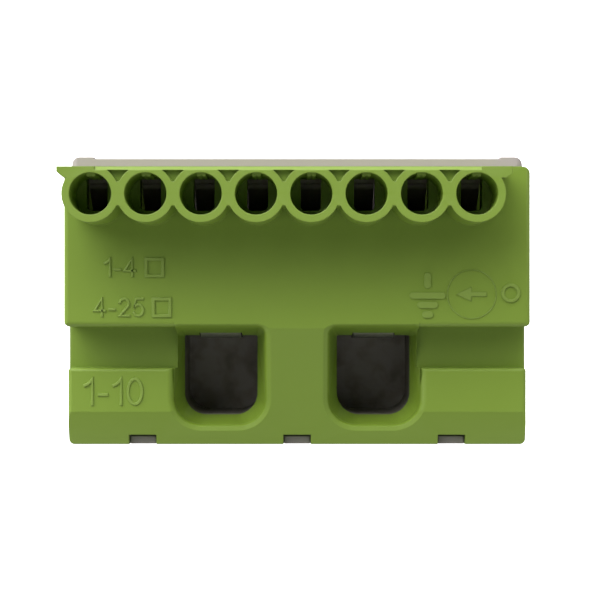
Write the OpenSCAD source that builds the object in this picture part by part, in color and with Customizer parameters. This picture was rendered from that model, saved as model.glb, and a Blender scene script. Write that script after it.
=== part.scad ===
// Earth terminal bar: eight push-in entries and two screw clamps on one busbar.
// Origin at the middle of the footprint, on the floor. X runs along the row of entries,
// the conductors enter from -Y, and the screws are driven from +Z.

/* [Housing] */
// Width of the housing
body_w = 61.4; // [60:0.1:70]
// Height of the housing, without the top cover
body_h = 37; // [36:0.1:42]
// Thickness of the back wall
back_wall = 1.8; // [1.2:0.1:4]
// Thickness of the front wall behind the tubes
front_wall = 1.2; // [0.8:0.1:2]
// Lean of the lower front, in degrees from upright
lean = 19.6; // [12:0.1:22]
// Height at which the front starts to lean back
lean_z = 15.7; // [14:0.1:18]
// Height of the upper body's lower edge over the side recesses
recess_top = 15.9; // [14.5:0.1:18.5]
// Depth of the side recesses behind the upper face
recess_d = 6; // [4.5:0.1:7]
// Height of the side blocks
block_h = 10.3; // [8:0.1:12]
// Depth of the side blocks' front behind the upper face
block_d = 4; // [2.5:0.1:4.4]
// Radius of the upper body's top corners
top_r = 1.05; // [0.4:0.05:1.6]
// Radius of the upper body's lower corners
lip_corner_r = 0.8; // [0.3:0.05:1.5]
// Radius of the upper body's lower front edge
lip_r = 0.7; // [0.2:0.05:1.5]
// Radius of the side blocks' top front edge
ledge_r = 0.45; // [0.2:0.05:1]
// Radius of the upright front edges
side_r = 0.6; // [0.2:0.05:1]
// Radius of the corners at the foot
foot_r = 0.7; // [0.3:0.05:1.5]
// Thickness of the ribs between cored pockets
core_rib = 1.2; // [0.8:0.1:1.6]
// Thickness of the walls round cored pockets
core_skin = 1.6; // [1.2:0.1:2]

/* [Push-in entries] */
// Number of push-in entries
tube_n = 8; // [4:1:8]
// Spacing of the entries
tube_pitch = 7; // [6.8:0.05:7.2]
// Sideways shift of the row from the housing's middle
tube_shift = -1.67; // [-1.8:0.01:1.8]
// Distance of the tube axes below the housing's top
tube_drop = 4.1; // [3.9:0.05:5]
// Inner diameter of a tube
tube_id = 5.36; // [4.8:0.02:5.8]
// Outer diameter of a tube
tube_od = 7.3; // [7.1:0.05:7.6]
// Length of the tubes in front of the upper face
tube_len = 8.5; // [6:0.1:12]
// Thickness of the floor of a bore in front of the upper face
bore_floor = 1; // [0.5:0.1:2]
// Height of the webs that join neighbouring tubes
web_h = 3.05; // [2.4:0.05:4]
// Width of the key rib in the top of each bore
key_w = 0.95; // [0.5:0.05:1.4]
// Height of the key rib
key_h = 0.2; // [0.1:0.02:0.22]
// Distance of the key rib's front behind the tube's mouth
key_inset = 1; // [0.2:0.1:4]
// Width of the contact window in the floor of a bore
window_w = 2.75; // [2:0.05:3.4]
// Height of the contact window
window_h = 4.3; // [3.6:0.05:4.4]
// Radius of the window's lower corners
window_r = 0.7; // [0.2:0.05:1]

/* [Shelf over the tubes] */
// Distance of the shelf's top below the housing's top
shelf_drop = 0.65; // [0.5:0.05:0.9]
// Thickness of the shelf's free ends
shelf_t = 1.45; // [1:0.05:2]
// Overhang of the shelf past the last tube
shelf_end = 0.82; // [0.4:0.02:1.6]
// Thickness of the shelf's end past the last tube
shelf_tip = 0.9; // [0.4:0.05:1.4]
// Depth of the pockets between the tube tops
pocket_d = 0.7; // [0.3:0.05:2]
// Size of the bevel on the shelf's front edge
shelf_bevel = 0.48; // [0.2:0.02:0.8]
// Distance of the bevel's left end from the first tube's centre, and of its right end past the last one's
bevel_inset = 0.55; // [0.2:0.05:1]
// Overhang of the ear past the first tube
ear_reach = 0.62; // [0.3:0.02:0.8]
// Thickness of the ear's tip
ear_tip = 0.68; // [0.3:0.02:1]

/* [Screw clamps] */
// Spacing of the two clamps
clamp_pitch = 20.8; // [19:0.1:22]
// Width of a funnel inside its rounded rim
mouth_w = 12.2; // [11.6:0.1:12.6]
// Height of the funnel's lower edge inside its rounded rim
mouth_z = 2.7; // [2.5:0.05:3]
// Height of the funnel's upper edge inside its rounded rim
mouth_top = 15.85; // [15.6:0.05:16.2]
// Radius of the funnel's lower corners
mouth_r = 3.6; // [2.5:0.1:5]
// Radius of the funnel's upper corners
mouth_top_r = 1; // [0.5:0.1:2]
// Radius of the funnel's rim
rim_r = 0.9; // [0.3:0.05:1]
// Distance behind the leaning front where the funnel starts to narrow
funnel_start = 1.8; // [1:0.1:2.4]
// Distance of the throat behind the tube mouths
throat_y = 17.7; // [17.2:0.1:20]
// Width of the throat
throat_w = 9.9; // [8.6:0.1:10]
// Height of the throat's lower edge
throat_z = 3.8; // [3.8:0.1:4.6]
// Height of the throat
throat_h = 10.8; // [9.6:0.1:10.9]
// Radius of the throat's lower corners
throat_r = 3; // [1.5:0.1:4]
// Width of the middle block past each throat
side_web = 0.75; // [0.5:0.05:1]

/* [Clamp cages] */
// Outer width of a cage
cage_w = 12.7; // [12.4:0.05:13]
// Length of a cage
cage_l = 12.9; // [12:0.1:16]
// Thickness of a cage's sides and floor
cage_t = 1.2; // [1:0.05:1.3]
// Thickness of a cage's back
cage_back = 1; // [0.6:0.1:2]
// Thickness of the threaded top of a cage
cage_top = 3.4; // [2.5:0.1:3.8]
// Radius of a cage's lower outer corners
cage_r = 3.2; // [1:0.1:4]
// Gap that stays between the cage's floor and the busbar when closed
closed_gap = 1.4; // [0.6:0.1:3]

/* [Clamp screws] */
// Diameter of the screw's shank
screw_d = 6; // [5:0.1:6.4]
// Radial clearance of the shank in its thread
thread_gap = 0.05; // [0.02:0.01:0.09]
// Diameter of the screw's head
head_d = 8.6; // [7.6:0.1:9]
// Height of the screw's head
head_h = 3.2; // [2.5:0.1:3.4]
// Width of the slot in the head
slot_w = 1.2; // [0.8:0.1:1.6]
// Depth of the slot
slot_d = 1.6; // [1:0.1:2.2]
// Width of the cross recess
cross_w = 4.4; // [3.5:0.1:5]

/* [Busbar] */
// Thickness of the busbar
bar_t = 2; // [1.5:0.1:2.2]
// Distance of the busbar's top below the tube axes
bar_drop = 1.8; // [1.6:0.05:2]
// Width of the legs and tongues
tongue_w = 5.5; // [4.5:0.1:7]
// Height of the tongue that shows below the throat's top
tongue_show = 0.4; // [0.2:0.05:0.8]
// Inner radius of the busbar's bends
bend_r = 0.8; // [0.4:0.1:1.5]
// Overhang of the busbar past the end contacts
bar_end = 2.9; // [2.85:0.05:3.2]

/* [Push-in contacts] */
// Outer width of a contact frame
frame_w = 5.4; // [4.8:0.1:5.6]
// Length of a contact frame
frame_l = 5.6; // [5.2:0.1:6]
// Thickness of the frame's sheet
frame_t = 0.5; // [0.3:0.05:0.6]
// Width of a leaf spring
spring_w = 2.7; // [2:0.1:3.4]
// Thickness of a leaf spring
spring_t = 0.35; // [0.25:0.05:0.4]
// Outer radius of the spring's bend
spring_r = 0.75; // [0.65:0.05:0.9]
// Slope of the spring's blade, in degrees
spring_slope = 35; // [30:1:45]

/* [Top cover] */
// Distance of the cover's ends from the housing's sides
cover_inset = 0.95; // [0.5:0.05:1.2]
// Distance of the cover's front behind the upper face
cover_front = 0.4; // [0.2:0.05:1]
// Distance of the cover's back from the housing's back
cover_rear = 0.4; // [0.2:0.05:1]
// Thickness of the cover
cover_t = 1.03; // [0.95:0.01:2]
// Width of a release slot
release_w = 3; // [2:0.1:3.6]
// Length of a release slot from front to back
release_l = 2.2; // [1.5:0.1:2.4]
// Distance of the release slots behind the rail
release_back = 0.6; // [0.3:0.05:1]
// Radius of the cover's end edges
cover_edge_r = 1.1; // [0.3:0.01:1.1]
// Radius of the cover's corners in plan
cover_corner_r = 0.9; // [0.5:0.1:3]
// Height of the label stops and rail
stop_h = 0.23; // [0.1:0.01:0.6]
// Width of the label stops
stop_w = 2.95; // [1.5:0.05:4]
// Width of the label channel
label_w = 6; // [4:0.1:7]
// Width of the rail behind the label channel
rail_w = 0.8; // [0.4:0.1:2]
// Diameter of the driver holes over the screws
driver_d = 6.5; // [5.5:0.1:6.8]
// Wall of the collars that hold the screw heads
collar_t = 1; // [0.8:0.05:1.2]

/* [Base plate] */
// Thickness of the base plate
base_t = 1.6; // [1.2:0.1:1.7]
// Width of the strips that carry the tabs
strip_w = 3; // [2:0.1:4.5]
// Width of the notches for the tabs
notch_w = 3.7; // [2.5:0.1:6]
// Height of the notches
notch_h = 1.3; // [0.8:0.05:1.5]
// Gap over the tabs in their notches
tab_gap = 0.3; // [0.1:0.05:0.4]
// Distance of the front tabs' ends behind the housing's foot
tab_inset = 0.9; // [0.2:0.1:1.3]

/* [Fixing holes] */
// Spacing of the fixing holes
fix_pitch = 48; // [47.4:0.1:50]
// Diameter of the fixing holes
fix_d = 4.3; // [3.4:0.1:5.2]
// Diameter of the wells for the fixing screws' heads
well_d = 8.3; // [7.6:0.1:8.6]
// Thickness of the floor under the screw heads
well_floor = 3; // [2.2:0.1:6]

/* [Clearances] */
// Gap between pieces that are fitted together
fit_gap = 0.15; // [0.05:0.01:0.2]
// Gap between pieces that slide past each other
slide_gap = 0.3; // [0.2:0.01:0.35]
// Gap between the screw's tip and the busbar
tip_gap = 0.05; // [0.02:0.01:0.2]

/* [Hidden] */
$fn = 64;
green = "yellowgreen";
light_grey = "lightgray";
steel = "silver";
spring_steel = "slategray";
tinned_copper = "gainsboro";
// overrun that carries a cut past the surface it opens
over = 1;
chamber_w = cage_w + 2 * slide_gap;
chamber_l = cage_l + 2 * slide_gap;
depth = throat_y + chamber_l + back_wall;
front = -depth / 2;
back = depth / 2;
face = front + tube_len;
throat = front + throat_y;
clamp_x = clamp_pitch / 2;
clamp_y = throat + chamber_l / 2;
mid_w = clamp_pitch + throat_w + 2 * side_web;
foot = face + lean_z * tan(lean);
tube_z = body_h - tube_drop;
tube_r = tube_od / 2;
bore_r = tube_id / 2;
tube_first = tube_shift - (tube_n - 1) * tube_pitch / 2;
tube_last = tube_first + (tube_n - 1) * tube_pitch;
shelf_z = body_h - shelf_drop;
shelf_right = tube_last + tube_r + shelf_end;
ear_left = tube_first - tube_r - ear_reach;
bar_top = tube_z - bar_drop;
trough = face + front_wall;
leg_back = throat - 0.1;
leg_front = leg_back - bar_t;
bar_front = trough + fit_gap;
tongue_z = throat_z + throat_h - tongue_show;
tongue_end = throat + slide_gap + cage_l - cage_back - 2 * slide_gap;
bar_left = tube_first - bar_end;
bar_right = tube_last + bar_end;
cage_front = throat + slide_gap;
cage_floor = throat_z;
cage_bottom = cage_floor - cage_t;
cage_ceiling = tongue_z + bar_t + slide_gap;
cage_roof = cage_ceiling + cage_top;
// distance that a cage rises from open to closed
travel = tongue_z - cage_floor - closed_gap;
screw_tip = tongue_z + bar_t + tip_gap;
head_z = cage_roof + travel + 2 * slide_gap;
head_top = head_z + head_h;
collar_r = head_d / 2 + slide_gap + collar_t;
frame_front = bar_front;
frame_in_h = window_h;
frame_top = bar_top + frame_in_h + frame_t;
cover_w = body_w - 2 * cover_inset;
cover_y0 = face + cover_front;
cover_y1 = back - cover_rear;
plate_front = foot + 1.6;
plate_back = back - back_wall;
tab_w = notch_w - 2 * fit_gap;
strip_half = clamp_pitch + notch_w / 2 + 0.5;
fix_x = fix_pitch / 2;

function tube_x(i) = tube_first + i * tube_pitch;

// Box between two corners
module block(x, y, z) {
    translate([x[0], y[0], z[0]]) cube([x[1] - x[0], y[1] - y[0], z[1] - z[0]]);
}

// Lays a flat shape whose axes are X and Z upright and gives it depth from y0 to y1
module along_y(y0, y1) {
    translate([0, y1, 0]) rotate([90, 0, 0]) linear_extrude(y1 - y0) children();
}

// Lays a flat shape whose axes are Y and Z across the part, from x0 to x1
module along_x(x0, x1) {
    translate([x0, 0, 0]) rotate([90, 0, 90]) linear_extrude(x1 - x0) children();
}

// Rectangle standing on z0, centred on x, with its lower and upper corners rounded
module panel(x, z0, z1, w, r_low, r_top) {
    translate([x - w / 2, z0 + r_low]) square([w, z1 - z0 - r_low - r_top]);
    translate([x - w / 2 + r_low, z0]) square([w - 2 * r_low, r_low + 0.01]);
    translate([x - w / 2 + r_top, z1 - r_top - 0.01]) square([w - 2 * r_top, r_top + 0.01]);
    for (s = [-1, 1]) {
        translate([x + s * (w / 2 - r_low), z0 + r_low]) circle(r_low);
        translate([x + s * (w / 2 - r_top), z1 - r_top]) circle(r_top);
    }
}

// Rectangle with four equal rounded corners, centred on x
module rounded(x, y, w, h, r) {
    translate([x, 0]) panel(0, y, y + h, w, r, r);
}

// What a rounded edge along X takes off the corner at y, z of a body behind and on one side of it
module edge_waste(x0, x1, y, z, r, up) {
    along_x(x0, x1) difference() {
        translate([y - over, up ? z - r : z - over]) square([over + r, over + r]);
        translate([y + r, up ? z - r : z + r]) circle(r);
    }
}

// What a rounded upright front edge takes off one end of the housing
module side_waste(side, y, z0, z1) {
    x = side * (body_w / 2 - side_r);
    difference() {
        block([min(x, x + side * (side_r + over)), max(x, x + side * (side_r + over))], [y - over, y + side_r],
            [z0, z1]);
        translate([x, y + side_r, z0 - over]) cylinder(r = side_r, h = z1 - z0 + 2 * over);
    }
}

// Outer form of the housing behind the upper face
module housing_form() {
    difference() {
        union() {
            along_y(face, back) panel(0, recess_top, body_h, body_w, lip_corner_r, top_r);
            along_y(face + recess_d, back) panel(0, 0, body_h, body_w, foot_r, top_r);
            along_y(face + block_d, back) panel(0, 0, block_h, body_w, foot_r, ledge_r);
            block([-mid_w / 2, mid_w / 2], [face, back], [0, recess_top + over]);
        }
        along_x(-body_w, body_w) polygon([
            [front, lean_z], [face, lean_z], [foot + over * tan(lean), -over], [front, -over]
        ]);
        for (s = [-1, 1]) {
            x0 = s > 0 ? mid_w / 2 : -body_w / 2 - over;
            x1 = s > 0 ? body_w / 2 + over : -mid_w / 2;
            edge_waste(x0, x1, face, recess_top, lip_r, false);
            edge_waste(x0, x1, face + block_d, block_h, ledge_r, true);
            side_waste(s, face, recess_top - over, body_h + over);
            side_waste(s, face + block_d, -over, block_h + over);
        }
    }
}

// Tubes, the webs between them and the shelf over them
module tube_row() {
    intersection() {
        union() {
            for (i = [0 : tube_n - 1])
                along_y(front, trough) translate([tube_x(i), tube_z]) circle(tube_r);
            for (i = [0 : tube_n - 2])
                block([tube_x(i + 0.5) - 0.4, tube_x(i + 0.5) + 0.4], [front, trough],
                    [tube_z - web_h / 2, tube_z + web_h / 2]);
        }
        block([-body_w, body_w], [front - over, trough + over], [0, shelf_z]);
    }
    // wall between the tubes and the shelf, set back to leave the pockets
    block([tube_first, tube_last], [front + pocket_d, trough], [tube_z, shelf_z]);
    // lip along the shelf's front edge
    block([tube_first, tube_last], [front, front + pocket_d + over], [shelf_z - shelf_bevel, shelf_z]);
    // free end past the last tube, and the ear past the first one
    along_y(front, trough) polygon([
        [tube_last, shelf_z - shelf_t], [shelf_right - shelf_end, shelf_z - shelf_t],
        [shelf_right, shelf_z - shelf_tip], [shelf_right, shelf_z], [tube_last, shelf_z]
    ]);
    along_y(front, trough) polygon([
        [tube_first, shelf_z], [ear_left, shelf_z], [ear_left, shelf_z - ear_tip],
        [ear_left + ear_reach + 0.3, shelf_z - shelf_t], [tube_first, shelf_z - shelf_t]
    ]);
}

// What the bevel takes off the shelf's front edge, over the tubes and the lip
module shelf_bevel_waste() {
    along_x(tube_first + bevel_inset, tube_last + bevel_inset) polygon([
        [front - over, shelf_z - shelf_bevel - over], [front + shelf_bevel + over, shelf_z + over],
        [front - over, shelf_z + over]
    ]);
}

// Bore, contact window and key rib of one entry
module entry_cut(i) {
    translate([tube_x(i), front - over, tube_z]) rotate([-90, 0, 0])
        cylinder(r = bore_r, h = over + tube_len - bore_floor);
    along_y(face - bore_floor - 0.01, trough + over)
        panel(tube_x(i), bar_top, bar_top + window_h, window_w, window_r, 0.1);
}

module entry_key(i) {
    block([tube_x(i) - key_w / 2, tube_x(i) + key_w / 2], [front + key_inset, face - bore_floor],
        [tube_z + bore_r - key_h, tube_z + bore_r + 0.3]);
}

// Outline of a funnel in a thin layer that leans with the front, grown by a margin
module mouth_layer(x, margin, behind) {
    intersection() {
        along_y(front, back) panel(x, mouth_z - margin, mouth_top + margin, mouth_w + 2 * margin,
            mouth_r + margin, mouth_top_r + margin, $fn = 32);
        along_x(-body_w, body_w) polygon([
            [foot + behind, 0], [foot + behind + 0.02, 0],
            [foot + behind + 0.02 - body_h * tan(lean), body_h], [foot + behind - body_h * tan(lean), body_h]
        ]);
    }
}

// Funnel of one clamp: a rounded rim in the leaning front, a straight stretch, then down to the throat
module funnel(x) {
    bulge = rim_r * (1 - cos(45));
    hull() {
        mouth_layer(x, rim_r, -0.05);
        mouth_layer(x, bulge, bulge);
    }
    hull() {
        mouth_layer(x, bulge, bulge);
        mouth_layer(x, 0, rim_r);
    }
    intersection() {
        along_y(front, back) panel(x, mouth_z, mouth_top, mouth_w, mouth_r, mouth_top_r, $fn = 32);
        along_x(-body_w, body_w) polygon([
            [front, 0], [foot + funnel_start, 0], [foot + funnel_start - body_h * tan(lean), body_h],
            [front, body_h]
        ]);
    }
    hull() {
        mouth_layer(x, 0, funnel_start - 0.02);
        along_y(throat - 0.1, throat + 0.05)
            panel(x, throat_z, throat_z + throat_h, throat_w, throat_r, 0.2, $fn = 32);
    }
}

// What the rounded edge between a side block and the funnel takes off: a straight run and a corner
module block_edge_waste(side) {
    edge = side * (clamp_x + mouth_w / 2);
    centre = side * (clamp_x + mouth_w / 2 - mouth_r);
    difference() {
        block([min(edge, edge + side * rim_r), max(edge, edge + side * rim_r)],
            [face, face + block_d + rim_r], [mouth_z + mouth_r, block_h + over]);
        translate([edge + side * rim_r, face + block_d + rim_r, 0]) cylinder(r = rim_r, h = body_h);
    }
    intersection() {
        translate([centre, 0, mouth_z + mouth_r]) rotate([-90, 0, 0]) rotate_extrude() difference() {
            translate([mouth_r, face]) square([rim_r, block_d + rim_r]);
            translate([mouth_r + rim_r, face + block_d + rim_r]) circle(rim_r);
        }
        block([min(centre, side * body_w), max(centre, side * body_w)], [front, back],
            [-over, mouth_z + mouth_r]);
    }
}

// Space that one clamp takes up: the cage's shaft and the leg's slot
module clamp_cut(x) {
    block([x - chamber_w / 2, x + chamber_w / 2], [throat, throat + chamber_l], [-over, body_h + over]);
    block([x - tongue_w / 2 - fit_gap, x + tongue_w / 2 + fit_gap],
        [leg_front - fit_gap, throat + over], [tongue_z - fit_gap, body_h + over]);
    block([x - tongue_w / 2 - fit_gap, x + tongue_w / 2 + fit_gap],
        [leg_front - fit_gap - bend_r, throat + over], [bar_top - bar_t - fit_gap - bend_r, body_h + over]);
}

// Well and hole for one fixing screw
module fixing_cut(x) {
    translate([x, clamp_y, well_floor]) cylinder(d = well_d, h = body_h);
    translate([x, clamp_y, -over]) cylinder(d = fix_d, h = body_h);
}

// Outline of the base plate in plan, grown by a gap
module plate_outline(gap) {
    main = clamp_x + chamber_w / 2 + 0.7;
    translate([-main - gap, plate_front - gap]) square([2 * (main + gap), plate_back - plate_front + gap * 2]);
    for (y = [plate_front, plate_back - strip_w])
        translate([-strip_half - gap, y - gap]) square([2 * (strip_half + gap), strip_w + 2 * gap]);
}

// Pockets that keep the walls thin: one under each contact, and one in each side from below
module cored_pockets() {
    w = tube_pitch - core_rib;
    for (i = [0 : tube_n - 1])
        block([tube_x(i) - w / 2, tube_x(i) + w / 2], [trough, leg_front - fit_gap - core_rib],
            [recess_top + core_skin, bar_top - bar_t + 0.01]);
    for (s = [-1, 1]) {
        x = s * (clamp_x + chamber_w / 2 + core_skin + body_w / 2 - core_skin) / 2;
        half = (body_w / 2 - clamp_x - chamber_w / 2) / 2 - core_skin;
        block([x - half, x + half], [face + recess_d + core_skin, clamp_y - well_d / 2 - core_rib],
            [-over, bar_top - bar_t - core_skin]);
    }
}

module housing() {
    color(green) {
        difference() {
            union() {
                housing_form();
                tube_row();
            }
            shelf_bevel_waste();
            for (i = [0 : tube_n - 1]) entry_cut(i);
            block([bar_left - fit_gap, bar_right + fit_gap], [trough, throat + over],
                [bar_top - bar_t, body_h + over]);
            for (s = [-1, 1]) {
                clamp_cut(s * clamp_x);
                funnel(s * clamp_x);
                block_edge_waste(s);
                fixing_cut(s * fix_x);
            }
            translate([0, 0, -over]) linear_extrude(over + base_t) plate_outline(fit_gap);
            for (s = [-1 : 1], y = [[face, plate_front + over], [plate_back - over, back + over]])
                block([s * clamp_pitch - notch_w / 2, s * clamp_pitch + notch_w / 2], y, [-over, notch_h]);
            cored_pockets();
        }
        for (i = [0 : tube_n - 1]) entry_key(i);
    }
}

module top_cover() {
    color(light_grey) difference() {
        union() {
            difference() {
                intersection() {
                    along_y(cover_y0, cover_y1)
                        panel(0, body_h - 1, body_h + cover_t + stop_h, cover_w, 0.05, cover_edge_r);
                    translate([0, 0, body_h]) linear_extrude(cover_t + stop_h + over)
                        rounded(0, cover_y0, cover_w, cover_y1 - cover_y0, cover_corner_r);
                }
                block([stop_w - cover_w / 2, cover_w / 2 - stop_w], [cover_y0 - over, cover_y0 + label_w],
                    [body_h + cover_t, body_h + cover_t + over]);
                block([-body_w, body_w], [cover_y0 + label_w + rail_w, back],
                    [body_h + cover_t, body_h + cover_t + over]);
            }
            // rib that keeps the contact frames down
            block([bar_left, bar_right], [frame_front, frame_front + frame_l - 1],
                [frame_top + 0.05, body_h + 0.3]);
            // collars that keep the screw heads in place
            for (s = [-1, 1]) translate([s * clamp_x, clamp_y, head_z])
                cylinder(r = collar_r, h = body_h + 0.3 - head_z);
        }
        for (s = [-1, 1]) {
            translate([s * clamp_x, clamp_y, head_z - over])
                cylinder(d = head_d + 2 * slide_gap, h = over + head_h + slide_gap);
            translate([s * clamp_x, clamp_y, head_z]) cylinder(d = driver_d, h = body_h);
            translate([s * fix_x, clamp_y, body_h - over]) cylinder(d = well_d, h = body_h);
        }
        // slots that let a blade reach the leaf springs
        for (i = [0 : tube_n - 1])
            block([tube_x(i) - release_w / 2, tube_x(i) + release_w / 2],
                [cover_y0 + label_w + rail_w + release_back, cover_y0 + label_w + rail_w + release_back + release_l],
                [body_h - over, body_h + cover_t + over]);
    }
}

module base_plate() {
    color(light_grey) {
        linear_extrude(base_t) plate_outline(0);
        for (s = [-1, 1])
            block([s * clamp_x - cage_w / 2 + 1, s * clamp_x + cage_w / 2 - 1],
                [cage_front + 1, cage_front + cage_l - 1], [base_t - 0.01, cage_bottom - slide_gap]);
        for (s = [-1 : 1], y = [[foot + tab_inset, plate_front + over], [plate_back - over, back - tab_inset]])
            block([s * clamp_pitch - tab_w / 2, s * clamp_pitch + tab_w / 2], y, [0, notch_h - tab_gap]);
    }
}

// Section of the busbar through a leg: flange, leg and tongue with round bends
module bar_section() {
    r_out = bend_r + bar_t;
    difference() {
        translate([bar_front, bar_top - bar_t]) square([leg_back - bar_front, bar_t]);
        translate([leg_back - r_out, bar_top - r_out]) square(r_out + over);
    }
    translate([leg_front, tongue_z + r_out]) square([bar_t, bar_top - tongue_z - 2 * r_out]);
    translate([leg_front + r_out, tongue_z]) square([tongue_end - leg_front - r_out, bar_t]);
    intersection() {
        translate([leg_back - r_out, bar_top - r_out]) ring_2d(bend_r, r_out);
        translate([leg_back - r_out, bar_top - r_out]) square(r_out);
    }
    intersection() {
        translate([leg_front + r_out, tongue_z + r_out]) ring_2d(bend_r, r_out);
        translate([leg_front, tongue_z]) square(r_out);
    }
}

module ring_2d(r_in, r_out) {
    difference() {
        circle(r_out);
        circle(r_in);
    }
}

module busbar() {
    color(tinned_copper) {
        block([bar_left, bar_right], [bar_front, leg_back - bend_r - bar_t], [bar_top - bar_t, bar_top]);
        for (s = [-1, 1])
            along_x(s * clamp_x - tongue_w / 2, s * clamp_x + tongue_w / 2) bar_section();
    }
}

// Stamped frame that stands on the busbar behind a contact window and holds the leaf spring
module contact_frame(i) {
    x = tube_x(i);
    color(steel) difference() {
        block([x - frame_w / 2, x + frame_w / 2], [frame_front, frame_front + frame_l], [bar_top, frame_top]);
        block([x - frame_w / 2 + frame_t, x + frame_w / 2 - frame_t],
            [frame_front + frame_t, frame_front + frame_l + over], [bar_top - over, bar_top + frame_in_h]);
        block([x - window_w / 2, x + window_w / 2], [frame_front - over, frame_front + frame_t + over],
            [bar_top - over, bar_top + frame_in_h - frame_t]);
    }
}

// Bent strip: a leg under the frame's top, a round bend and a blade that slopes to the busbar
module leaf_spring(i) {
    x = tube_x(i);
    r_in = spring_r - spring_t;
    top = bar_top + frame_in_h;
    cy = frame_front + frame_t + spring_r + 0.1;
    cz = top - spring_r;
    a = 270 - spring_slope;
    blade = (cz + spring_r * sin(a) - bar_top - 0.05) / sin(spring_slope);
    color(spring_steel) along_x(x - spring_w / 2, x + spring_w / 2) {
        translate([cy - 0.02, top - spring_t]) square([frame_front + frame_l - cy - 0.1, spring_t]);
        difference() {
            translate([cy, cz]) ring_2d(r_in, spring_r);
            translate([cy, cz]) polygon([
                [0, 2], [2, 2], [2, -2],
                [2 * cos(a), 2 * sin(a)], [0, 0]
            ]);
        }
        translate([cy + spring_r * cos(a), cz + spring_r * sin(a)]) rotate(-spring_slope)
            translate([-0.02, 0]) square([blade + 0.02, spring_t]);
    }
}

// Steel box that the screw lifts: open at the front, threaded through its top
module clamp_cage(x) {
    inner_w = cage_w - 2 * cage_t;
    color(steel) difference() {
        along_y(cage_front, cage_front + cage_l)
            panel(x, cage_bottom, cage_roof, cage_w, cage_r, 0.4);
        along_y(cage_front - over, cage_front + cage_l - cage_back)
            panel(x, cage_floor, cage_ceiling, inner_w, throat_r, 0.2);
        translate([x, clamp_y, cage_ceiling - over])
            cylinder(r = screw_d / 2 + thread_gap, h = cage_top + 2 * over);
    }
}

// Screw that stands on the busbar's tongue and turns in place
module clamp_screw(x) {
    color(steel) translate([x, clamp_y, 0]) difference() {
        union() {
            translate([0, 0, screw_tip]) cylinder(d = screw_d, h = head_z - screw_tip + 0.1);
            translate([0, 0, head_z]) cylinder(d = head_d, h = head_h);
        }
        block([-slot_w / 2, slot_w / 2], [-head_d, head_d], [head_top - slot_d, head_top + over]);
        block([-cross_w / 2, cross_w / 2], [-slot_w / 2, slot_w / 2], [head_top - slot_d, head_top + over]);
    }
}

housing();
top_cover();
base_plate();
busbar();
contact_frame(0);  // contact_frame_1
contact_frame(1);  // contact_frame_2
contact_frame(2);  // contact_frame_3
contact_frame(3);  // contact_frame_4
contact_frame(4);  // contact_frame_5
contact_frame(5);  // contact_frame_6
contact_frame(6);  // contact_frame_7
contact_frame(7);  // contact_frame_8
leaf_spring(0);  // leaf_spring_1
leaf_spring(1);  // leaf_spring_2
leaf_spring(2);  // leaf_spring_3
leaf_spring(3);  // leaf_spring_4
leaf_spring(4);  // leaf_spring_5
leaf_spring(5);  // leaf_spring_6
leaf_spring(6);  // leaf_spring_7
leaf_spring(7);  // leaf_spring_8
clamp_cage(-clamp_x);  // clamp_cage_left
clamp_cage(clamp_x);  // clamp_cage_right
clamp_screw(-clamp_x);  // clamp_screw_left
clamp_screw(clamp_x);  // clamp_screw_right
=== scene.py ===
"""Looks for the earth terminal bar: finishes for every piece, the moulded marks and the stage."""

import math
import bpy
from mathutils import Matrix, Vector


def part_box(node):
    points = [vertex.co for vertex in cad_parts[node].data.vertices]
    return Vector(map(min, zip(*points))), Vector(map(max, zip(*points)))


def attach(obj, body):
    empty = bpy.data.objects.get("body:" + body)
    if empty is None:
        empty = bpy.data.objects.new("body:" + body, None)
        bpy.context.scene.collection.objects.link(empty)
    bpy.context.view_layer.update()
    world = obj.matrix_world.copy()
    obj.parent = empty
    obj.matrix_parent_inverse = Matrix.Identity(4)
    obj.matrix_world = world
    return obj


bl_info = {
    "name": "Earth Terminal Bar",
    "version": (1, 0, 0),
    "blender": (4, 5, 0),
    "location": "View3D > Sidebar > Terminal Bar",
    "description": "Finishes, moulded marks and stage for a green earth terminal bar",
    "category": "Object",
}

import bmesh
import bpy
from bpy.props import FloatProperty, FloatVectorProperty, PointerProperty
from mathutils import Matrix

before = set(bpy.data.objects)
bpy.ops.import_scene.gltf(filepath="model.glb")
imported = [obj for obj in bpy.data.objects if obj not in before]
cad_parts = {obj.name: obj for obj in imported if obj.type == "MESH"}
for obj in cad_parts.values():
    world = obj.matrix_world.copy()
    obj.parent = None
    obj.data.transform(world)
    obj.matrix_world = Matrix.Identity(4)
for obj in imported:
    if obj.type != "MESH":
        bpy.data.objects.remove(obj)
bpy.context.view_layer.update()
MM = 0.001
SIDES = ("left", "right")


# ---------------------------------------------------------------- places on the frame

def low(node):
    """Lowest corner of a node's box, in millimetres."""
    return [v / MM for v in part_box(node)[0]]


def high(node):
    """Highest corner of a node's box, in millimetres."""
    return [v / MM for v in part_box(node)[1]]


def contact_x(i):
    """Middle of contact frame i, counted from 1: the axis of its push-in entry."""
    name = "contact_frame_%d" % i
    return (low(name)[0] + high(name)[0]) / 2


FRONT = low("housing")[1]
TOP = high("housing")[2]
# the upper face stands this far behind the tube mouths
FACE = FRONT + 8.5
BLOCK_FACE = FACE + 4.0
# height of the tube axes
TUBE_Z = TOP - 4.1
BORE_R = 2.68


# ---------------------------------------------------------------- what a user would change

def length(name, text, value, least=0.0, most=100.0):
    """A size in millimetres."""
    return FloatProperty(name=name, description=text, default=value, min=least, max=most,
                         precision=3, unit="NONE", subtype="NONE")


def shade(name, text, value):
    """A linear colour."""
    return FloatVectorProperty(name=name, description=text, default=value, size=3,
                               min=0.0, max=1.0, subtype="COLOR")


def share(name, text, value, most=1.0):
    """A factor without a unit."""
    return FloatProperty(name=name, description=text, default=value, min=0.0, max=most,
                         precision=3, subtype="FACTOR")


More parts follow.
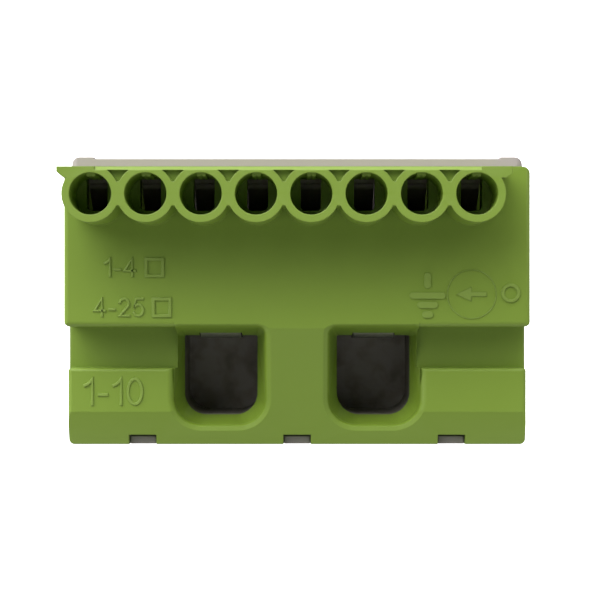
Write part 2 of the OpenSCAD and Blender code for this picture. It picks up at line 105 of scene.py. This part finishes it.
class BAR_PG_finishes(bpy.types.PropertyGroup):
    """Colours and roughness of the pieces."""
    green: shade("Green", "Moulded green of the housing", (0.200, 0.31, 0.029))
    cover_grey: shade("Cover grey", "Light grey of the top cover", (0.47, 0.415, 0.41))
    base_grey: shade("Base grey", "Grey of the base plate", (0.30, 0.285, 0.25))
    tin: shade("Tin", "Tin plating of the busbar", (0.42, 0.41, 0.39))
    sheet: shade("Contact sheet", "Stamped sheet of the contact frames", (0.30, 0.27, 0.24))
    spring: shade("Spring strip", "Dark strip of the leaf springs", (0.25, 0.22, 0.20))
    zinc: shade("Zinc", "Dark zinc plating of the cages and screws", (0.30, 0.28, 0.25))
    plastic_rough: share("Plastic roughness", "Roughness of the moulded plastic", 0.52)
    metal_rough: share("Metal roughness", "Roughness of the plated metal", 0.42)
    edge_radius: length("Edge radius", "Radius of the small edges' rounding, in millimetres", 0.16, 0.01, 1.0)


class BAR_PG_keys(bpy.types.PropertyGroup):
    """Sizes of the key ribs in the bores."""
    width: length("Width", "Width of a key rib, in millimetres", 1.15, 0.3, 2.0)
    height: length("Height", "Height of a key rib, in millimetres", 0.42, 0.1, 1.2)
    inset: length("Inset", "Distance of a rib's front behind the tube mouth, in millimetres", 0.9, 0.1, 4.0)


class BAR_PG_marks(bpy.types.PropertyGroup):
    """Sizes of the moulded marks."""
    raised: length("Raised", "Height of the raised marks over the face, in millimetres", 0.16, 0.02, 0.5)
    figure: length("Figure height", "Height of the figures on the upper face, in millimetres", 2.65, 1.0, 6.0)
    large_figure: length("Large figure height", "Height of the side block's figures, in millimetres", 3.85, 1.0, 8.0)
    stroke: length("Stroke", "Width of the strokes, in millimetres", 0.42, 0.1, 1.0)
    ring: length("Ring radius", "Radius of the ring with the arrow, in millimetres", 3.28, 1.0, 6.0)


class BAR_PG_stage(bpy.types.PropertyGroup):
    """Light and camera."""
    distance: length("Distance", "Camera in front of the tube mouths, in millimetres", 212.0, 50.0, 2000.0)
    eye: length("Eye height", "Height of the camera, in millimetres", 19.43, 0.0, 500.0)
    lens: FloatProperty(name="Lens", description="Focal length on a 36 mm sensor", default=100.6,
                        min=20.0, max=300.0, unit="CAMERA")
    light: share("Light", "Strength of all the soft lights together", 1.06, 8.0)
    bounce: share("Bounce", "Strength of the light from below", 0.40, 4.0)


# soft lights round the part: degrees to the right of the camera, degrees up, strength
LIGHTS = (
    ("front left", -40, 38, 2.84),
    ("side left", -75, 38, 2.03),
    ("high left", -60, 65, 1.88),
    ("high front", 0, 65, 2.33),
    ("side right", 75, 38, 1.27),
    ("rear left", -140, 50, 1.5),
)
# angles from a light's middle at which it starts to fade and is gone
LIGHT_CORE = 10.0
LIGHT_RIM = 36.0


def settings(which):
    """The settings of one group."""
    return getattr(bpy.context.scene, "bar_" + which)


# ---------------------------------------------------------------- shader helpers

def node(tree, kind, **inputs):
    """Adds a shader node. Inputs are values, or sockets to link, by name or index."""
    n = tree.nodes.new(kind)
    for key, value in inputs.items():
        key = key.replace("_", " ")
        if key in ("operation", "blend type", "data type", "noise dimensions", "wave type",
                   "bands direction", "feature", "clamp"):
            setattr(n, key.replace(" ", "_"), value)
            continue
        socket = n.inputs[int(key[1:])] if key[0] == "i" and key[1:].isdigit() else n.inputs[key]
        if isinstance(value, bpy.types.NodeSocket):
            tree.links.new(value, socket)
        else:
            socket.default_value = value
    return n


def math_node(tree, operation, a, b=0.0):
    """One arithmetic step; a and b are numbers or sockets."""
    return node(tree, "ShaderNodeMath", operation=operation, i0=a, i1=b).outputs[0]


def mix_colour(tree, factor, a, b, blend="MIX"):
    """Mixes two colours."""
    n = tree.nodes.new("ShaderNodeMix")
    n.data_type = "RGBA"
    n.blend_type = blend
    for index, value in ((0, factor), (6, a), (7, b)):
        if isinstance(value, bpy.types.NodeSocket):
            tree.links.new(value, n.inputs[index])
        else:
            n.inputs[index].default_value = value if index == 0 else tuple(value)[:3] + (1.0,)
    return n.outputs[2]


def ramp(tree, value, low_at, high_at):
    """0 below low_at, 1 above high_at."""
    n = node(tree, "ShaderNodeMapRange", i0=value, i1=low_at, i2=high_at, i3=0.0, i4=1.0)
    return n.outputs[0]


def new_group(name, inputs, outputs):
    """An empty node group with named float and colour sockets."""
    tree = bpy.data.node_groups.new(name, "ShaderNodeTree")
    for title, kind, value in inputs:
        s = tree.interface.new_socket(name=title, in_out="INPUT", socket_type=kind)
        s.default_value = value
    for title, kind in outputs:
        tree.interface.new_socket(name=title, in_out="OUTPUT", socket_type=kind)
    return tree, tree.nodes.new("NodeGroupInput").outputs, tree.nodes.new("NodeGroupOutput").inputs


def moulded_surface():
    """Group for moulded plastic: slow drift of the colour, fine grain and a painted highlight on sharp convex edges."""
    name = "Moulded surface"
    if name in bpy.data.node_groups:
        return bpy.data.node_groups[name]
    tree, g, out = new_group(
        name,
        [("Colour", "NodeSocketColor", (0.5, 0.5, 0.5, 1)), ("Roughness", "NodeSocketFloat", 0.5),
         ("Drift", "NodeSocketFloat", 0.06), ("Grain", "NodeSocketFloat", 0.02),
         ("Grain scale", "NodeSocketFloat", 9000.0), ("Edge paleness", "NodeSocketFloat", 0.1)],
        [("Colour", "NodeSocketColor"), ("Roughness", "NodeSocketFloat"), ("Height", "NodeSocketFloat")])
    place = tree.nodes.new("ShaderNodeTexCoord").outputs["Object"]
    slow = node(tree, "ShaderNodeTexNoise", Vector=place, Scale=70.0, Detail=3.0).outputs[0]
    flow = node(tree, "ShaderNodeTexNoise", Vector=place, Scale=260.0, Detail=4.0, Distortion=0.8).outputs[0]
    grain = node(tree, "ShaderNodeTexNoise", Vector=place, Scale=g["Grain scale"], Detail=2.0).outputs[0]
    drift = math_node(tree, "MULTIPLY", math_node(tree, "SUBTRACT", slow, 0.5), g["Drift"])
    streak = math_node(tree, "MULTIPLY", math_node(tree, "SUBTRACT", flow, 0.5), math_node(tree, "MULTIPLY", g["Drift"], 0.6))
    gain = math_node(tree, "ADD", math_node(tree, "ADD", drift, streak), 1.0)
    grey = node(tree, "ShaderNodeCombineColor", i0=gain, i1=gain, i2=gain).outputs[0]
    body = mix_colour(tree, 1.0, g["Colour"], grey, "MULTIPLY")
    # painted highlight: sharp convex edges, found by pointiness, are mixed towards a pale green (0.62, 0.72, 0.42)
    edge = ramp(tree, tree.nodes.new("ShaderNodeNewGeometry").outputs["Pointiness"], 0.52, 0.6)
    painted_highlight = math_node(tree, "MULTIPLY", edge, g["Edge paleness"])
    tree.links.new(mix_colour(tree, painted_highlight, body, (0.62, 0.72, 0.42)), out["Colour"])
    rough = math_node(tree, "ADD", g["Roughness"], math_node(tree, "MULTIPLY", math_node(tree, "SUBTRACT", flow, 0.5), 0.12))
    tree.links.new(rough, out["Roughness"])
    tree.links.new(math_node(tree, "MULTIPLY", grain, g["Grain"]), out["Height"])
    return tree


def plated_surface():
    """Group for plated metal: rolling lines along X and tarnish patches."""
    name = "Plated surface"
    if name in bpy.data.node_groups:
        return bpy.data.node_groups[name]
    tree, g, out = new_group(
        name,
        [("Colour", "NodeSocketColor", (0.5, 0.5, 0.5, 1)), ("Roughness", "NodeSocketFloat", 0.4),
         ("Tarnish", "NodeSocketFloat", 0.25), ("Rolling", "NodeSocketFloat", 0.15),
         ("Lines per metre", "NodeSocketFloat", 4000.0)],
        [("Colour", "NodeSocketColor"), ("Roughness", "NodeSocketFloat"), ("Height", "NodeSocketFloat")])
    place = tree.nodes.new("ShaderNodeTexCoord").outputs["Object"]
    stretched = node(tree, "ShaderNodeMapping", Vector=place, Scale=(0.06, 1.0, 1.0)).outputs[0]
    lines = node(tree, "ShaderNodeTexNoise", Vector=stretched, Scale=g["Lines per metre"], Detail=3.0).outputs[0]
    patch = node(tree, "ShaderNodeTexNoise", Vector=place, Scale=420.0, Detail=5.0, Distortion=0.5).outputs[0]
    dull = math_node(tree, "MULTIPLY", ramp(tree, patch, 0.42, 0.7), g["Tarnish"])
    dark = mix_colour(tree, 1.0, g["Colour"], (0.55, 0.5, 0.44), "MULTIPLY")
    tree.links.new(mix_colour(tree, dull, g["Colour"], dark), out["Colour"])
    wear = math_node(tree, "MULTIPLY", math_node(tree, "SUBTRACT", lines, 0.5), g["Rolling"])
    rough = math_node(tree, "ADD", math_node(tree, "ADD", g["Roughness"], wear), math_node(tree, "MULTIPLY", dull, 0.4))
    tree.links.new(rough, out["Roughness"])
    tree.links.new(math_node(tree, "MULTIPLY", lines, g["Rolling"]), out["Height"])
    return tree


def finish(name, group, colour, roughness, metallic, edge, height, **values):
    """A material that places a surface group in front of its own Principled shader."""
    if name in bpy.data.materials:
        return bpy.data.materials[name]
    mat = bpy.data.materials.new(name)
    mat.use_nodes = True
    tree = mat.node_tree
    shader = tree.nodes["Principled BSDF"]
    surface = tree.nodes.new("ShaderNodeGroup")
    surface.node_tree = group
    surface.inputs["Colour"].default_value = tuple(colour) + (1.0,)
    surface.inputs["Roughness"].default_value = roughness
    for key, value in values.items():
        surface.inputs[key.replace("_", " ")].default_value = value
    tree.links.new(surface.outputs["Colour"], shader.inputs["Base Color"])
    tree.links.new(surface.outputs["Roughness"], shader.inputs["Roughness"])
    shader.inputs["Metallic"].default_value = metallic
    rounding = node(tree, "ShaderNodeBevel", Radius=edge * MM)
    rounding.samples = 6
    bump = node(tree, "ShaderNodeBump", Height=surface.outputs["Height"], Normal=rounding.outputs[0],
                Strength=0.5, Distance=height * MM)
    tree.links.new(bump.outputs[0], shader.inputs["Normal"])
    return mat


def green_plastic():
    f = settings("finishes")
    # the green gets a faint painted highlight on its sharp edges
    return finish("Green moulded plastic", moulded_surface(), f.green, f.plastic_rough, 0.0,
                  f.edge_radius, 0.02, Drift=0.05, Grain=0.6, Grain_scale=5200.0, Edge_paleness=0.05)


def wear(nodes, material):
    """Gives these CAD nodes a material through their objects' slots."""
    for name in nodes:
        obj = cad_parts[name]
        if not obj.material_slots:
            raise RuntimeError("no material slot on " + name)
        for slot in obj.material_slots:
            slot.link = "OBJECT"
            slot.material = material


# ---------------------------------------------------------------- mesh helpers

def solid(name, outline, y0, y1, holes=()):
    """A plate between depths y0 and y1 whose outline and holes are X, Z points in millimetres."""
    curve = bpy.data.curves.new(name, "CURVE")
    curve.dimensions = "2D"
    curve.fill_mode = "BOTH"
    curve.extrude = (y1 - y0) / 2 * MM
    for loop in (outline,) + tuple(holes):
        spline = curve.splines.new("POLY")
        spline.points.add(len(loop) - 1)
        for point, (x, z) in zip(spline.points, loop):
            point.co = (x * MM, z * MM, 0, 1)
        spline.use_cyclic_u = True
    flat = bpy.data.objects.new(name + "_outline", curve)
    bpy.context.scene.collection.objects.link(flat)
    mesh = bpy.data.meshes.new_from_object(flat.evaluated_get(bpy.context.evaluated_depsgraph_get()))
    bpy.data.objects.remove(flat)
    mesh.transform(Matrix.Translation((0, (y0 + y1) / 2 * MM, 0)) @ Matrix.Rotation(math.pi / 2, 4, "X"))
    return place(name, mesh)


def place(name, mesh, body="block", material=None):
    """Puts a mesh in the scene as a piece that rides on a body."""
    mesh.name = name
    obj = bpy.data.objects.new(name, mesh)
    bpy.context.scene.collection.objects.link(obj)
    obj.data.materials.clear()
    obj.data.materials.append(material or green_plastic())
    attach(obj, body)
    return obj


def disc(x, z, radius, sides=48):
    """Points of a circle."""
    return [(x + radius * math.cos(2 * math.pi * k / sides), z + radius * math.sin(2 * math.pi * k / sides))
            for k in range(sides)]


def pill(x, z, half_x, half_z, steps=6):
    """Points of a bar with rounded ends, centred on x, z."""
    r = min(half_x, half_z) * 0.98
    points = []
    for q, (sx, sz) in enumerate(((1, 1), (-1, 1), (-1, -1), (1, -1))):
        for k in range(steps + 1):
            a = math.pi / 2 * (q + k / steps)
            points.append((x + sx * (half_x - r) + r * math.cos(a), z + sz * (half_z - r) + r * math.sin(a)))
    return points


def box_points(x0, x1, z0, z1):
    """Points of a rectangle."""
    return [(x0, z0), (x1, z0), (x1, z1), (x0, z1)]


def arc(cx, cz, rx, rz, start, end, steps=14):
    """Points of an elliptic arc; the angles are in degrees."""
    turns = [math.radians(start + (end - start) * k / steps) for k in range(steps + 1)]
    return [(cx + rx * math.cos(a), cz + rz * math.sin(a)) for a in turns]


# strokes of the figures in a frame 1 tall, and each figure's width
STROKES = {
    "0": (0.56, [arc(0.28, 0.5, 0.28, 0.5, 90, 450, 28)]),
    "1": (0.3, [[(0.0, 0.74), (0.12, 0.8), (0.22, 0.88), (0.3, 1.0), (0.3, 0.0)]]),
    "2": (0.56, [arc(0.28, 0.71, 0.27, 0.29, 165, -35) + [(0.02, 0.0), (0.56, 0.0)]]),
    "4": (0.6, [[(0.44, 0.0), (0.44, 1.0), (0.0, 0.3), (0.6, 0.3)]]),
    "5": (0.56, [[(0.52, 1.0), (0.12, 1.0), (0.04, 0.5)] + arc(0.26, 0.33, 0.29, 0.33, 135, -150, 18)]),
    "-": (0.3, [[(0.0, 0.37), (0.3, 0.37)]]),
}


def strip(points, half, start):
    """Raised strip with a flat top and sloping sides along a polyline, as vertices and faces."""
    raised = settings("marks").raised
    verts, faces = [], []
    count = len(points)
    closed = count > 2 and math.dist(points[0], points[-1]) < 1e-6
    for k, (x, z) in enumerate(points):
        before = points[k - 1] if k else (points[-2] if closed else None)
        after = points[k + 1] if k + 1 < count else (points[1] if closed else None)
        ways = []
        for a, b in ((before, (x, z)), ((x, z), after)):
            if a and b:
                d = math.dist(a, b)
                ways.append(((b[0] - a[0]) / d, (b[1] - a[1]) / d))
        tx = sum(w[0] for w in ways)
        tz = sum(w[1] for w in ways)
        size = math.hypot(tx, tz) or 1.0
        nx, nz = -tz / size, tx / size
        spread = 1.0
        if len(ways) == 2:
            spread = min(1.0 / max(abs(nx * -ways[0][1] + nz * ways[0][0]), 0.4), 1.8)
        cap = 0.0 if len(ways) == 2 else half * 0.8 * (1 if before else -1)
        ex, ez = x + tx / size * cap, z + tz / size * cap
        for side, out in ((1, 1.0), (1, 0.62), (-1, 0.62), (-1, 1.0)):
            reach = side * half * out * spread
            sink = 0.06 if out == 1.0 else -raised
            shift = cap * 0.3 * (out - 1.0)
            verts.append((ex + nx * reach + tx / size * shift, sink, ez + nz * reach + tz / size * shift))
    for k in range(count - 1):
        a, b = start + 4 * k, start + 4 * k + 4
        for q in range(3):
            faces.append((a + q, b + q, b + q + 1, a + q + 1))
        faces.append((a + 3, b + 3, b, a))
    if not closed:
        last = start + 4 * (count - 1)
        faces.append((start, start + 1, start + 2, start + 3))
        faces.append((last + 3, last + 2, last + 1, last))
    return verts, faces


def strokes(name, lines, half, face):
    """One piece made of raised strips along X, Z lines in millimetres, on a face at depth face."""
    verts, faces = [], []
    for line in lines:
        new_verts, new_faces = strip(line, half, len(verts))
        verts += new_verts
        faces += new_faces
    mesh = bpy.data.meshes.new(name)
    mesh.from_pydata([(x * MM, (face + y) * MM, z * MM) for x, y, z in verts], [], faces)
    mesh.validate()
    work = bmesh.new()
    work.from_mesh(mesh)
    bmesh.ops.recalc_face_normals(work, faces=work.faces)
    work.to_mesh(mesh)
    work.free()
    return place(name, mesh)


def figures(name, text, x, z, tall, face):
    """Raised figures that end at x on the right and stand on z, on a face."""
    half = settings("marks").stroke / 2 * (tall / settings("marks").figure) ** 0.5
    gap = 0.24 * tall
    lines = []
    x -= half + sum(STROKES[c][0] for c in text) * (tall - 2 * half) + gap * (len(text) - 1)
    for c in text:
        wide, drawn = STROKES[c]
        lines += [[(x + px * (tall - 2 * half), z + half + pz * (tall - 2 * half)) for px, pz in line]
                  for line in drawn]
        x += wide * (tall - 2 * half) + gap
    return strokes(name, lines, half, face)


# ---------------------------------------------------------------- operators

class BAR_OT_housing(bpy.types.Operator):
    """Give the housing its green moulded finish."""
    bl_idname = "bar.housing"
    bl_label = "Finish Housing"

    def execute(self, context):
        wear(["housing"], green_plastic())
        return {"FINISHED"}


class BAR_OT_cover(bpy.types.Operator):
    """Give the top cover its light grey finish."""
    bl_idname = "bar.cover"
    bl_label = "Finish Top Cover"

    def execute(self, context):
        f = settings("finishes")
        wear(["top_cover"], finish("Light grey cover plastic", moulded_surface(), f.cover_grey,
                                   f.plastic_rough, 0.0, f.edge_radius, 0.02, Drift=0.05, Grain=0.5,
                                   Grain_scale=6000.0, Edge_paleness=0.0))
        return {"FINISHED"}


class BAR_OT_base(bpy.types.Operator):
    """Give the base plate its grey finish."""
    bl_idname = "bar.base"
    bl_label = "Finish Base Plate"

    def execute(self, context):
        f = settings("finishes")
        wear(["base_plate"], finish("Grey base plastic", moulded_surface(), f.base_grey,
                                    f.plastic_rough, 0.0, f.edge_radius, 0.02, Drift=0.08, Grain=0.5,
                                    Grain_scale=6000.0, Edge_paleness=0.0))
        return {"FINISHED"}


class BAR_OT_metal(bpy.types.Operator):
    """Plate the busbar, contact frames, springs, cages and screws."""
    bl_idname = "bar.metal"
    bl_label = "Finish Metal Pieces"

    def execute(self, context):
        f = settings("finishes")
        plated = plated_surface()
        wear(["busbar"], finish("Tinned copper", plated, f.tin, f.metal_rough, 0.9, 0.1, 0.01,
                                Tarnish=0.3, Rolling=0.2))
        wear(["contact_frame_%d" % i for i in range(1, 9)],
             finish("Stamped contact sheet", plated, f.sheet, 0.6, 0.3, 0.05, 0.01,
                    Tarnish=0.35, Rolling=0.15))
        wear(["leaf_spring_%d" % i for i in range(1, 9)],
             finish("Dark spring strip", plated, f.spring, 0.55, 0.35, 0.04, 0.01,
                    Tarnish=0.15, Rolling=0.3))
        wear(["clamp_cage_" + s for s in SIDES] + ["clamp_screw_" + s for s in SIDES],
             finish("Zinc plated steel", plated, f.zinc, 0.6, 0.35, 0.12, 0.01,
                    Tarnish=0.4, Rolling=0.15))
        return {"FINISHED"}


class BAR_OT_keys(bpy.types.Operator):
    """Add the full-height key rib in the top of every bore."""
    bl_idname = "bar.keys"
    bl_label = "Add Key Ribs"

    def execute(self, context):
        k = settings("keys")
        for i in range(1, 9):
            x = contact_x(i)
            top = TUBE_Z + math.sqrt(BORE_R ** 2 - (k.width / 2) ** 2) + 0.12
            foot = TUBE_Z + BORE_R - k.height
            notch = k.width * 0.16
            outline = [(x - k.width / 2, top), (x - k.width / 2, foot + 0.1), (x - k.width / 2 + 0.1, foot),
                       (x - notch, foot), (x, foot + k.height * 0.42), (x + notch, foot),
                       (x + k.width / 2 - 0.1, foot), (x + k.width / 2, foot + 0.1), (x + k.width / 2, top)]
            solid("key_rib_%d" % i, outline, FRONT + k.inset, FRONT + 7.55)
        return {"FINISHED"}


class BAR_OT_ranges(bpy.types.Operator):
    """Raise the conductor ranges at the left of the upper face and on the side block."""
    bl_idname = "bar.ranges"
    bl_label = "Add Range Marks"

    def execute(self, context):
        m = settings("marks")
        for name, text, z, end, corner in (("range_small", "1-4", 22.4, -21.1, -20.05),
                                           ("range_large", "4-25", 17.15, -20.0, -19.1)):
            figures(name, text, end, z, m.figure, FACE)
            side = 2.6
            solid(name + "_square", box_points(corner, corner + side, z, z + side), FACE - m.raised, FACE + 0.05,
                  [box_points(corner + m.stroke, corner + side - m.stroke, z + m.stroke, z + side - m.stroke)[::-1]])
        figures("side_figures", "1-10", -20.5, 5.25, m.large_figure, BLOCK_FACE)
        return {"FINISHED"}


class BAR_OT_earth(bpy.types.Operator):
    """Raise the earth sign on the upper face."""
    bl_idname = "bar.earth"
    bl_label = "Add Earth Sign"

    def execute(self, context):
        m = settings("marks")
        x = 17.17
        half = m.stroke * 1.05
        solid("earth_stem", pill(x, 22.0, half, 1.06), FACE - m.raised, FACE + 0.05)
        for k, (z, w) in enumerate(((20.0, 4.76), (18.77, 2.72), (17.5, 1.43))):
            solid("earth_bar_%d" % (k + 1), pill(x, z, w / 2, half), FACE - m.raised, FACE + 0.05)
        return {"FINISHED"}


class BAR_OT_arrow(bpy.types.Operator):
    """Add the ring with its arrow, and the small open ring beside it."""
    bl_idname = "bar.arrow"
    bl_label = "Add Arrow Ring"

    def execute(self, context):
        m = settings("marks")
        x, z, r = 22.98, 20.19, m.ring
        solid("arrow_ring", disc(x, z, r, 72), FACE - m.raised * 0.5, FACE + 0.05, [disc(x, z, r - 0.14, 72)[::-1]])
        arrow = [(x - 2.05, z), (x - 0.05, z + 0.95), (x - 0.05, z + 0.3), (x + 1.95, z + 0.3),
                 (x + 1.95, z - 0.3), (x - 0.05, z - 0.3), (x - 0.05, z - 0.95)]
        solid("arrow", arrow, FACE - m.raised * 0.7, FACE + 0.05)
        solid("terminal_ring", disc(28.1, 20.35, 1.25, 48), FACE - m.raised, FACE + 0.05,
              [disc(28.1, 20.35, 1.25 - m.stroke, 48)[::-1]])
        return {"FINISHED"}


class BAR_OT_stage(bpy.types.Operator):
    """Set the floor, backdrop, lights and camera."""
    bl_idname = "bar.stage"
    bl_label = "Set Stage"

    def execute(self, context):
        s = settings("stage")
        scene = context.scene
        mat = bpy.data.materials.new("White sweep")
        mat.use_nodes = True
        tree = mat.node_tree
        shader = tree.nodes["Principled BSDF"]
        grain = node(tree, "ShaderNodeTexNoise", Scale=14.0, Detail=2.0).outputs[0]
        tone = ramp(tree, grain, -6.0, 2.0)
        paper = node(tree, "ShaderNodeCombineColor", i0=tone, i1=tone, i2=tone).outputs[0]
        seen = tree.nodes.new("ShaderNodeLightPath").outputs["Is Camera Ray"]
        tree.links.new(mix_colour(tree, seen, (0.12, 0.12, 0.12), paper), shader.inputs["Base Color"])
        shader.inputs["Roughness"].default_value = 0.9
        shader.inputs["Specular IOR Level"].default_value = 0.0
        shader.inputs["Emission Color"].default_value = (1, 1, 1, 1)
        glow = math_node(tree, "ADD", math_node(tree, "MULTIPLY", seen, 0.9), s.bounce)
        tree.links.new(glow, shader.inputs["Emission Strength"])
        depth, rise, bend = 0.5, 0.9, 0.25
        profile = [(-0.2, 0.0), (depth - bend, 0.0)]
        for k in range(1, 13):
            a = math.pi / 2 * k / 12
            profile.append((depth - bend + bend * math.sin(a), bend - bend * math.cos(a)))
        profile.append((depth, rise))
        verts, faces = [], []
        for y, z in profile:
            verts += [(-1.6, y, z - 0.00005), (1.6, y, z - 0.00005)]
        for k in range(len(profile) - 1):
            faces.append((2 * k, 2 * k + 1, 2 * k + 3, 2 * k + 2))
        mesh = bpy.data.meshes.new("sweep")
        mesh.from_pydata(verts, [], faces)
        for p in mesh.polygons:
            p.use_smooth = True
        sweep = bpy.data.objects.new("sweep", mesh)
        sweep.data.materials.append(mat)
        scene.collection.objects.link(sweep)
        world = bpy.data.worlds.new("Soft room")
        world.use_nodes = True
        tree = world.node_tree
        way = tree.nodes.new("ShaderNodeTexCoord").outputs["Generated"]
        strength = 0.0
        for title, turn, rise, power in LIGHTS:
            turn, rise = math.radians(turn), math.radians(rise)
            aim = (math.cos(rise) * math.sin(turn), -math.cos(rise) * math.cos(turn), math.sin(rise))
            facing = node(tree, "ShaderNodeVectorMath", operation="DOT_PRODUCT", i0=way, i1=aim)
            facing.label = title
            fade = node(tree, "ShaderNodeMapRange", i0=facing.outputs["Value"],
                        i1=math.cos(math.radians(LIGHT_RIM)), i2=math.cos(math.radians(LIGHT_CORE)))
            fade.interpolation_type = "SMOOTHSTEP"
            strength = math_node(tree, "ADD", strength, math_node(tree, "MULTIPLY", fade.outputs[0], power * s.light))
        seen = tree.nodes.new("ShaderNodeLightPath").outputs["Is Camera Ray"]
        strength = math_node(tree, "MAXIMUM", strength, seen)
        tree.nodes["Background"].inputs["Color"].default_value = (1, 1, 1, 1)
        tree.links.new(strength, tree.nodes["Background"].inputs["Strength"])
        scene.world = world
        scene.view_settings.view_transform = "Standard"
        scene.view_settings.look = "None"
        cam = bpy.data.cameras.new("Front camera")
        cam.lens = s.lens
        cam.sensor_width = 36.0
        cam.clip_start = 0.01
        camera = bpy.data.objects.new("Front camera", cam)
        camera.location = (0.39 * MM, (FRONT - s.distance) * MM, s.eye * MM)
        camera.rotation_euler = (math.pi / 2, 0, 0)
        scene.collection.objects.link(camera)
        scene.camera = camera
        return {"FINISHED"}


class BAR_PT_panel(bpy.types.Panel):
    """Lists the settings and the steps."""
    bl_idname = "BAR_PT_panel"
    bl_label = "Terminal Bar"
    bl_space_type = "VIEW_3D"
    bl_region_type = "UI"
    bl_category = "Terminal Bar"

    def draw(self, context):
        for title in GROUPS:
            column = self.layout.column(align=True)
            column.label(text=title.capitalize())
            group = settings(title)
            for key in group.bl_rna.properties.keys():
                if key not in ("rna_type", "name"):
                    column.prop(group, key)
        for step in OPERATORS:
            self.layout.operator(step.bl_idname)


GROUPS = {"finishes": BAR_PG_finishes, "keys": BAR_PG_keys, "marks": BAR_PG_marks, "stage": BAR_PG_stage}
OPERATORS = (BAR_OT_housing, BAR_OT_cover, BAR_OT_base, BAR_OT_metal, BAR_OT_keys, BAR_OT_ranges,
             BAR_OT_earth, BAR_OT_arrow, BAR_OT_stage)


def register():
    """Adds the classes and the settings."""
    for cls in tuple(GROUPS.values()) + OPERATORS + (BAR_PT_panel,):
        bpy.utils.register_class(cls)
    for title, cls in GROUPS.items():
        setattr(bpy.types.Scene, "bar_" + title, PointerProperty(type=cls))


def unregister():
    """Takes the settings and the classes away."""
    for title in GROUPS:
        delattr(bpy.types.Scene, "bar_" + title)
    for cls in (BAR_PT_panel,) + OPERATORS[::-1] + tuple(GROUPS.values())[::-1]:
        bpy.utils.unregister_class(cls)


def main():
    """Builds the scene step by step."""
    register()
    for step in OPERATORS:
        group, name = step.bl_idname.split(".")
        if "FINISHED" not in getattr(getattr(bpy.ops, group), name)():
            raise RuntimeError(step.bl_label + " did not finish")


if __name__ == "__main__":
    main()
